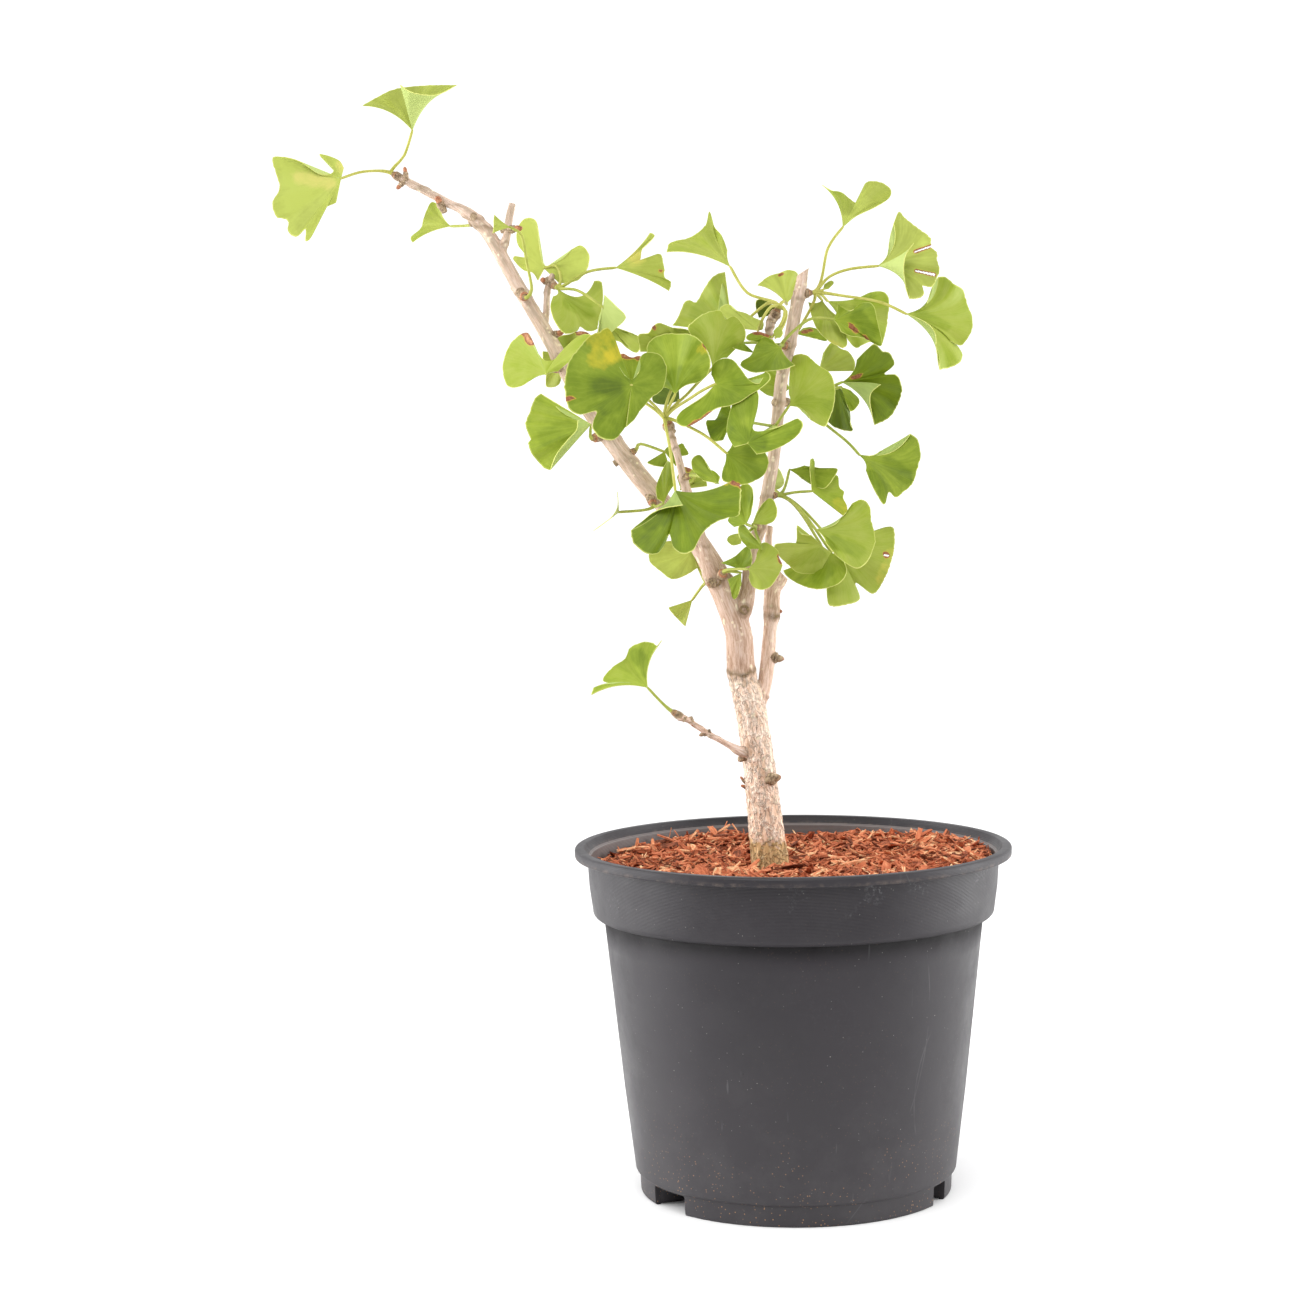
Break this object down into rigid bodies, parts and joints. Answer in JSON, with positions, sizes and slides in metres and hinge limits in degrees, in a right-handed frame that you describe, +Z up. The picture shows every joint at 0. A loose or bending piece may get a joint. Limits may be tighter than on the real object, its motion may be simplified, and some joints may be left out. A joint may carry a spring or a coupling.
{
  "type": "ginkgo bonsai",
  "caption": "Young ginkgo with a forked trunk and fan-shaped green leaves, growing from bark-mulched soil in a round dark plastic nursery pot.",
  "frame": {"origin": "centre of the whole plant's bounding box, at the bottom of the pot's foot ring", "axes": "+Z up, +Y away from the viewer of the front side, +X to that viewer's right; the long bough reaches out along -X"},
  "size_m": [0.4022, 0.2398, 0.6144],
  "materials": {
    "pot_plastic": "satin dark charcoal moulded plastic with faint scratches",
    "potting_soil": "dark crumbly potting soil",
    "bark_chips": "reddish shredded bark, dry and fibrous",
    "ginkgo_bark": "pale tan bark with fine lengthwise fissures",
    "ginkgo_leaf": "yellow-green leaf with fine fanned veins, slightly waxy"
  },
  "bodies": {
    "root": {"pot": "pot_plastic", "soil": "potting_soil", "bark_mulch": "bark_chips", "tree": "ginkgo_bark", "leaves_tip": "ginkgo_leaf", "leaves_joint": "ginkgo_leaf", "leaves_bend": "ginkgo_leaf", "leaves_twig": "ginkgo_leaf", "leaves_bough": "ginkgo_leaf", "leaves_boughface": "ginkgo_leaf", "leaves_lowbough": "ginkgo_leaf", "leaves_star": "ginkgo_leaf", "leaves_nub": "ginkgo_leaf", "leaves_knot": "ginkgo_leaf", "leaves_shoot": "ginkgo_leaf", "leaves_node": "ginkgo_leaf", "leaves_nodeback": "ginkgo_leaf", "leaves_lowtwig": "ginkgo_leaf", "leaves_cone": "ginkgo_leaf", "leaves_crotch": "ginkgo_leaf", "leaves_top": "ginkgo_leaf", "leaves_backspur": "ginkgo_leaf", "leaves_leftspur": "ginkgo_leaf", "leaves_midspur": "ginkgo_leaf", "leaves_rightspur": "ginkgo_leaf"}
  },
  "joints": []
}
